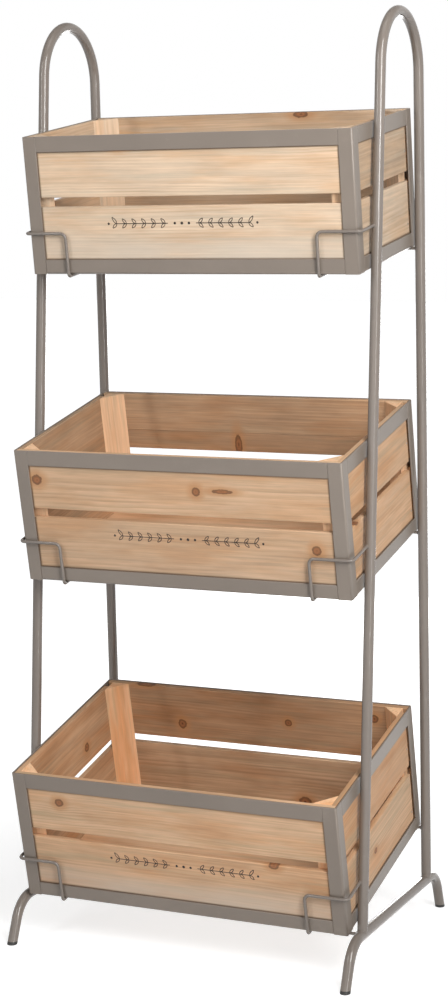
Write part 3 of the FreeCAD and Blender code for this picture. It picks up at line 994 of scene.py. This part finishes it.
def inkMaterial(values):
    material, tree, shader = newMaterial("sprigInk")
    worn = noise(stretched(objectPlace(tree), 60.0, 900.0, 900.0), 1.0, 3.0)
    worn = between(worn, 0.5, 0.8)
    faded = shadeOf(values["ink"], values["fadedInk"])
    feed(shader, {
        "Base Color": mixColour(product(worn, values["wear"]), values["ink"], faded),
        "Roughness": maths("MULTIPLY_ADD", worn, values["wearRoughness"], values["roughness"])})
    return material


def sprigTree():
    # drawn flat: stems are the edges, each point marked with a leaf length or a dot size
    tree, source = newTree("sprigRow", {"Line": 0.0008, "Leaf Width": 0.003, "Thickness": 0.0002})
    points, leafLength, dotRadius = source["Geometry"], named(tree, "leaf"), named(tree, "dot")
    halves = []
    for bulge in (-1.0, 1.0):
        middle = (sprigs["bulge"], bulge, 0)
        links = {"Resolution": 12, "Start": (0, 0, 0), "Middle": middle, "End": (1, 0, 0)}
        halves.append(grown(tree, "CurveQuadraticBezier", links))

    def scattered(instance, measure, **placing):  # on the points that have this measure
        chosen = output(tree, "FunctionNodeCompare", {0: measure, 1: 0.0}, data_type="FLOAT",
                        operation="GREATER_THAN")
        links = {"Points": points, "Selection": chosen, "Instance": instance, **placing}
        placed = grown(tree, "InstanceOnPoints", links)
        return grown(tree, "RealizeInstances", {0: placed})

    spin = combined(tree, 0.0, 0.0, named(tree, "turn"))
    size = combined(tree, leafLength, source["Leaf Width"], 1.0)
    leaves = scattered(joined(*halves), leafLength, Rotation=spin, Scale=size)
    stems = grown(tree, "MeshToCurve", {0: points})
    half = product(source["Line"], 0.5)
    strokes = swept(joined(leaves, stems), half, 6, **{"Fill Caps": True})
    dotSize = combined(tree, dotRadius, dotRadius, 1.0)
    dots = scattered(cylinder(tree, 20, 1.0, source["Line"]), dotRadius, Scale=dotSize)
    position = grown(tree, "InputPosition")
    flat = combined(tree, 1.0, 1.0, maths("DIVIDE", source["Thickness"], source["Line"]))
    pressed = grown(tree, "SetPosition", {
        "Geometry": joined(strokes, dots), "Position": vectorMaths("MULTIPLY", position, flat)})
    return finishTree(pressed, source)


def sprigLayout(name):
    points, edges, leaf, turn, dot = [], [], [], [], []

    def add(x, leafLength=0.0, angle=0.0, radius=0.0):
        points.append(Vector((x, 0, 0)) * mm)
        leaf.append(leafLength * mm)
        turn.append(angle)
        dot.append(radius * mm)

    for side in (-1, 1):
        start, stop = (side * reach for reach in sprigs["stem"])
        edges.append((len(points), len(points) + 1))
        add(start)
        add(stop)
        for i in range(sprigs["pairs"]):
            x = side * (sprigs["first"] + i * sprigs["pitch"])
            upper = sprigs["last"] if i == sprigs["pairs"] - 1 else sprigs["upper"]
            for tip in (upper, sprigs["lower"]):
                add(x, hypot(*tip), atan2(tip[1], side * tip[0]))
    for x, radius in sprigs["dots"]:
        add(x, radius=radius)
    return newMesh(name, points, edges, [], {"leaf": leaf, "turn": turn, "dot": dot})


sprigInk, sprigRow = inkMaterial(sprigs), sprigTree()
for tierName, tier in tiers.items():
    name = camel(tierName, "sprigs")
    values = {"Line": sprigs["line"] * mm, "Leaf Width": sprigs["leafWidth"] * mm,
              "Thickness": sprigs["depth"] * mm, "Material": sprigInk}
    piece = grow(name, sprigRow, sprigLayout(name), values)
    x, h = (value * mm for value in sprigPlaces[tierName])
    upright = Matrix(((1, 0, 0, x), (0, 0, -1, crate["boardInset"] * mm), (0, 1, 0, h), (0, 0, 0, 1)))
    place = tier["place"].copy()
    place.translation = place.translation * mm
    piece.data.transform(place @ upright)
    dress(piece, tierName + "_crate", "pine")
print("sprigs made")


# Floor, lamps and camera
studio = {
    "floor": (0.6, 0.6, 0.6), "patch": 0.98, "roughness": 0.9, "specular": 0.2,
    "nearLift": 0.7, "farLift": 1.0, "fade": (0.35, 1.1), "floorSize": 60.0, "floorParts": 12,
    "ambient": 0.12, "ceiling": 0.25, "ceilingEdge": (0.3, 0.7),
    "lamps": (
        # name, place, aim, size, watts
        ("rightKey", (1.33, -1.25, 1.75), (0, 0, 0.9), (0.7, 1.4), 41.0),
        ("leftHigh", (-1.15, -1.95, 1.85), (0, 0, 1.0), (0.14, 1.1), 13.0),
        ("frontFill", (0.3, -3.0, 1.1), (0, 0, 0.5), (1.2, 1.2), 5.0),
        ("overhead", (0.3, -0.4, 2.6), (0, 0, 0.7), (1.0, 0.8), 3.0),
        ("rightStrip", (1.6, -1.3, 0.8), (0, 0, 0.55), (0.12, 1.3), 9.0),
        ("rearFill", (-0.4, 2.6, 0.5), (0, 0, 0.55), (1.2, 0.8), 24.0),
    ),
}


def floorMaterial(values):
    material, tree, shader = newMaterial("paleFloor")
    place = objectPlace(tree)
    patch = shadeOf(values["floor"], values["patch"])
    away = between(vectorMaths("LENGTH", place), *values["fade"])  # white paper away from the stand
    lift = maths("MULTIPLY_ADD", away, values["farLift"] - values["nearLift"], values["nearLift"])
    feed(shader, {
        "Base Color": mixColour(noise(place, 3.0), values["floor"], patch),
        "Roughness": values["roughness"], "Specular IOR Level": values["specular"],
        "Emission Color": (1, 1, 1, 1), "Emission Strength": product(seenDirectly(tree), lift)})
    return material


def floorMesh(values):
    work = bmesh.new()
    parts = values["floorParts"]
    bmesh.ops.create_grid(work, x_segments=parts, y_segments=parts, size=values["floorSize"] / 2)
    mesh = bpy.data.meshes.new("studioFloor")
    work.to_mesh(mesh)
    work.free()
    mesh.materials.append(floorMaterial(values))
    return mesh


studioFloor = bpy.data.objects.new("studioFloor", floorMesh(studio))
scene.collection.objects.link(studioFloor)

world = bpy.data.worlds.new("studioWorld")
scene.world = world
world.use_nodes = True
worldTree = world.node_tree
worldTree.nodes.clear()
direction = node(worldTree, "ShaderNodeTexCoord").outputs["Generated"]
overhead = between(separated(direction)["Z"], *studio["ceilingEdge"])  # a ceiling darker than the walls
brightness = maths("MULTIPLY_ADD", overhead, studio["ceiling"] - 1.0, 1.0)
links = {0: seenDirectly(worldTree), 2: studio["ambient"], 3: brightness}
strength = output(worldTree, "ShaderNodeMix", links)
backdrop = output(worldTree, "ShaderNodeBackground", {"Color": (1, 1, 1, 1), "Strength": strength})
node(worldTree, "ShaderNodeOutputWorld", {"Surface": backdrop})

for name, place, aim, size, watts in studio["lamps"]:
    lamp = bpy.data.lights.new(name, "AREA")
    lamp.shape = "RECTANGLE"
    lamp.size, lamp.size_y = size
    lamp.energy = watts
    holder = bpy.data.objects.new(name, lamp)
    holder.location = place
    holder.rotation_euler = (Vector(place) - Vector(aim)).to_track_quat("Z", "Y").to_euler()
    scene.collection.objects.link(holder)

view = {
    "place": (1057.244, -2427.617, 867.98), "yaw": 24.063, "pitch": 5.793, "roll": -0.221,
    "focal": 2108.014, "frame": (448, 998), "middle": (210.526, 463.199), "sensor": 36.0, "clip": 50.0,
}
turned = Matrix.Identity(4)
for angle, axis in ((view["yaw"], "Z"), (90.0 - view["pitch"], "X"), (view["roll"], "Z")):
    turned = turned @ Matrix.Rotation(radians(angle), 4, axis)
lens = bpy.data.cameras.new("photoCamera")
width, height = view["frame"]
lens.sensor_width = view["sensor"]
lens.lens = view["focal"] * view["sensor"] / height
lens.shift_x = (width / 2 - view["middle"][0]) / height
lens.shift_y = (view["middle"][1] - height / 2) / height
lens.clip_end = view["clip"]
camera = bpy.data.objects.new("photoCamera", lens)
camera.matrix_world = Matrix.Translation(Vector(view["place"]) * mm) @ turned
scene.collection.objects.link(camera)
scene.camera = camera
scene.view_settings.view_transform = "Standard"
print("studio made")
